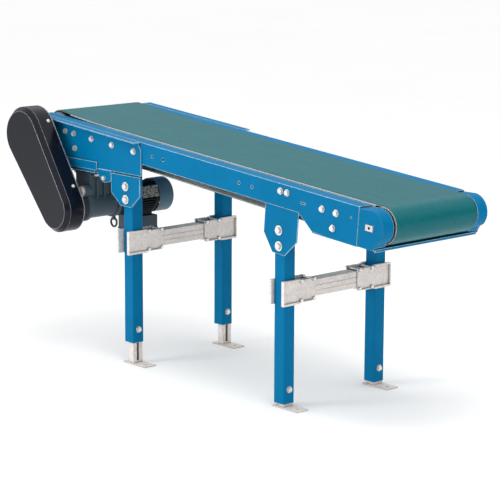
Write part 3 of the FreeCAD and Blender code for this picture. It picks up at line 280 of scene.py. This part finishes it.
# One material for each material slot of the record.
MATERIALS = {
    # Blue paint: its near-white cyan edge colour is a painted highlight along the sheet edges.
    "blue_paint": powder_coat(
        "blue_paint", colour=(0.000, 0.162, 0.350), rough=0.34, worn_and_highlit=(0.70, 0.92, 1.00),
        specular=0.04, edge_radius=0.0032, wear_and_highlight=1.0),
    "housing_iron": powder_coat(
        "housing_iron", colour=(0.050, 0.070, 0.090), rough=0.45, worn_and_highlit=(0.16, 0.20, 0.24),
        peel=0.25),
    # Black guard: its light grey edge colour is a painted highlight along the rounded edges.
    "guard_black": powder_coat(
        "guard_black", colour=(0.004, 0.005, 0.010), rough=0.22, worn_and_highlit=(0.52, 0.54, 0.60),
        specular=0.24, edge_radius=0.0040, wear_and_highlight=0.9),
    "motor_paint": powder_coat(
        "motor_paint", colour=(0.062, 0.092, 0.118), rough=0.42, worn_and_highlit=(0.17, 0.22, 0.26),
        peel=0.25),
    "cowl_paint": powder_coat(
        "cowl_paint", colour=(0.085, 0.165, 0.225), rough=0.42, worn_and_highlit=(0.26, 0.36, 0.42),
        peel=0.2),
    "black_plastic": powder_coat(
        "black_plastic", colour=(0.015, 0.015, 0.016), rough=0.5, worn_and_highlit=(0.06, 0.06, 0.065),
        peel=0.3),
    "galvanised": zinc_sheet(
        "galvanised", light=(0.86, 0.79, 0.75), dark=(0.66, 0.61, 0.58), rough=0.40, metal=0.2),
    "zinc_fasteners": zinc_sheet(
        "zinc_fasteners", light=(0.90, 0.88, 0.85), dark=(0.62, 0.62, 0.62), rough=0.25, metal=0.6),
    "bare_steel": turned_steel("bare_steel", colour=(0.60, 0.60, 0.61), rough=0.30),
    "plate_aluminium": stained_plate(
        "nameplate_face", clean=(0.62, 0.57, 0.50), stain=(0.03, 0.03, 0.03)),
    "belt_cover": rubber(
        "belt_cover", colour=(0.000, 0.112, 0.132), rough=0.30, grain=700.0, specular=0.15),
    # Belt fabric: partly the fabric's own beige and partly painted light, made lighter so the shaded
    # return strand looks lit.
    "belt_fabric": cloth("belt_fabric", colour=(0.93, 0.90, 0.84)),
    "lagging_rubber": rubber(
        "lagging_rubber", colour=(0.016, 0.016, 0.017), rough=0.62, grain=300.0),
}

# The nodes that look unlike the rest of their slot.
FINISHES = {
    "slider_bed": zinc_sheet(
        "slider_steel", light=(0.44, 0.52, 0.56), dark=(0.34, 0.40, 0.44), rough=0.40, metal=0.2),
    "motor_frame": powder_coat(
        "motor_frame_black", colour=(0.012, 0.015, 0.019), rough=0.42, worn_and_highlit=(0.05, 0.06, 0.07),
        peel=0.2),
    "gearbox_plug": MATERIALS["galvanised"],
    "lifting_eye": MATERIALS["motor_paint"],
}

for entry in frame["record"]["subparts"]:
    slots = frame["nodes"][entry["node"]].data.materials
    slots.clear()
    slots.append(FINISHES.get(entry["node"], MATERIALS[entry["material_slot"]]))


# ---- floor ---------------------------------------------------------------------------------

FLOOR_SIZE = 60.0
FLOOR_GAP = 0.0005
FLOOR_COLOUR = (0.96, 0.96, 0.96)

bpy.ops.mesh.primitive_plane_add(size=FLOOR_SIZE, location=(0.0, 0.0, -FLOOR_GAP))
floor = bpy.context.object
floor.name = "floor"
floor.data.materials.append(floor_finish("floor_white", FLOOR_COLOUR))


# ---- light ---------------------------------------------------------------------------------

LIT_POINT = Vector((-0.05, 0.0, 0.55))


def softbox(name, size, power, place):
    """A square area light that faces the middle of the conveyor."""
    light = bpy.data.lights.new(name, "AREA")
    light.shape = "SQUARE"
    light.size = size
    light.energy = power
    lamp = bpy.data.objects.new(name, light)
    lamp.location = place
    lamp.rotation_euler = (Vector(place) - LIT_POINT).to_track_quat("Z", "Y").to_euler()
    bpy.context.scene.collection.objects.link(lamp)


softbox("key", size=1.6, power=70.0, place=(-1.9, -4.2, 1.8))
softbox("over", size=1.6, power=30.0, place=(0.4, -0.4, 3.6))
softbox("fill", size=2.4, power=34.0, place=(4.6, -1.0, 2.2))

# The surroundings give less light near the horizon than from above, so upright faces have some
# shape.  Heights are those of a direction of length one.
DIM_HEIGHT, BRIGHT_HEIGHT = 0.20, 0.60
DIM_LIGHT, BRIGHT_LIGHT = 0.28, 1.20

# The camera sees an even backdrop instead of that light.
BACKDROP_LIGHT = 0.97

world = bpy.data.worlds.new("studio")
world.use_nodes = True
world_nodes = world.node_tree.nodes
join = world.node_tree.links.new

direction = world_nodes.new("ShaderNodeTexCoord")
height = world_nodes.new("ShaderNodeSeparateXYZ")
join(direction.outputs["Generated"], height.inputs["Vector"])

sky_light = world_nodes.new("ShaderNodeMapRange")
sky_light.inputs["From Min"].default_value = DIM_HEIGHT
sky_light.inputs["From Max"].default_value = BRIGHT_HEIGHT
sky_light.inputs["To Min"].default_value = DIM_LIGHT
sky_light.inputs["To Max"].default_value = BRIGHT_LIGHT
join(height.outputs["Z"], sky_light.inputs["Value"])

ray = world_nodes.new("ShaderNodeLightPath")
strength = world_nodes.new("ShaderNodeMix")
strength.inputs["B"].default_value = BACKDROP_LIGHT
join(ray.outputs["Is Camera Ray"], strength.inputs["Factor"])
join(sky_light.outputs["Result"], strength.inputs["A"])

background = world_nodes["Background"]
background.inputs["Color"].default_value = (1.0, 1.0, 1.0, 1.0)
join(strength.outputs["Result"], background.inputs["Strength"])

bpy.context.scene.world = world
bpy.context.scene.view_settings.view_transform = "Standard"


# ---- camera --------------------------------------------------------------------------------

# The photograph's view.  Azimuth 0 looks along +Y, a larger one moves the camera towards +X, the
# elevation is above the horizon, and a positive roll lifts the camera's right side.
AZIMUTH = math.radians(47.4233)
ELEVATION = math.radians(11.1512)
ROLL = math.radians(0.2565)
AIM = Vector((-0.2855, 0.18969, 0.400))
DISTANCE = 7.36457
FOCAL_LENGTH = 141.2
SENSOR_WIDTH = 36.0

back = Vector((math.sin(AZIMUTH), -math.cos(AZIMUTH), 0.0)) * math.cos(ELEVATION)
back.z = math.sin(ELEVATION)
level = Vector((math.cos(AZIMUTH), math.sin(AZIMUTH), 0.0))
right = level * math.cos(ROLL) + back.cross(level) * math.sin(ROLL)
up = back.cross(right)

camera_data = bpy.data.cameras.new("camera")
camera_data.lens = FOCAL_LENGTH
camera_data.sensor_width = SENSOR_WIDTH
camera = bpy.data.objects.new("camera", camera_data)
turn = Matrix((right, up, back)).transposed().to_4x4()
camera.matrix_world = Matrix.Translation(AIM + back * DISTANCE) @ turn
bpy.context.scene.collection.objects.link(camera)
bpy.context.scene.camera = camera
